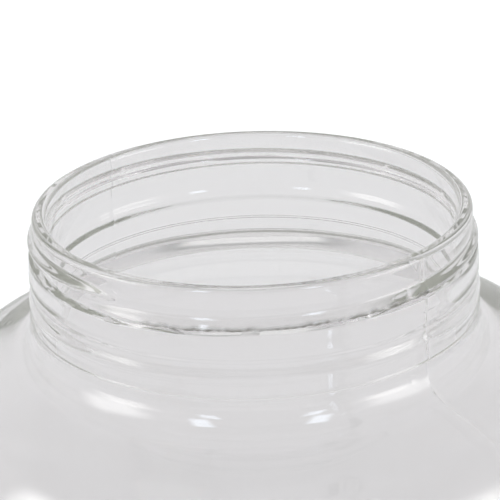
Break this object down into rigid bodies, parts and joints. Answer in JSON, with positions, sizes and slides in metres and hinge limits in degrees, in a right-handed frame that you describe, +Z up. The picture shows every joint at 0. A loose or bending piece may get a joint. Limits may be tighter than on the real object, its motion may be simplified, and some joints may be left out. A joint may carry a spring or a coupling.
{
  "type": "glass beverage dispenser",
  "caption": "Wide-mouth clear glass drink dispenser jar with a threaded neck, a spring-closed lever tap near its base and a metal screw lid lying beside it.",
  "frame": {"origin": "centre of the jar's flat base, on the surface it stands on", "axes": "+Z up along the jar's axis, -Y out through the tap, +X towards the lid"},
  "size_m": [0.2965, 0.2193, 0.25],
  "materials": {
    "glass": "clear fire-polished soda-lime glass with a faint green-grey tint",
    "steel": "polished stainless steel",
    "spring_steel": "drawn stainless wire",
    "tinplate": "satin tinplate",
    "silicone": "matt translucent white silicone",
    "black_plastic": "satin black moulded plastic"
  },
  "bodies": {
    "dispenser": {"jar": "glass", "tap_body": "steel", "outer_gasket": "silicone", "inner_gasket": "silicone", "clamp_washer": "steel", "shank_nut": "steel", "bonnet": "steel", "bonnet_seal": "silicone", "valve_spring": "spring_steel"},
    "stem": {"valve_stem": "steel", "seat_cup": "silicone", "spring_washer": "steel"},
    "lever": {"lever": "steel", "lever_pin": "steel", "lever_grip": "black_plastic"},
    "lid": {"lid_shell": "tinplate", "lid_liner": "silicone"}
  },
  "joints": [
    {"name": "stem_lift", "type": "slide", "parent": "dispenser", "child": "stem", "axis": [0, 0, 1], "range_m": [0, 0.006], "deforming": ["valve_spring"]},
    {"name": "lever_tilt", "type": "hinge", "parent": "stem", "child": "lever", "pos_m": [0, -0.11814, 0.07304], "axis": [1, 0, 0], "range_deg": [0, 75], "stiffness_Nm_per_rad": 0.038, "springref_deg": -50.02},
    {"name": "lid_lift", "type": "slide", "parent": "dispenser", "child": "lid", "axis": [0, 0, 1], "range_m": [0, 0.25]}
  ],
  "couplings": [
    {"joint": "stem_lift", "follows": "lever_tilt", "m_per_rad": 0.004583}
  ]
}
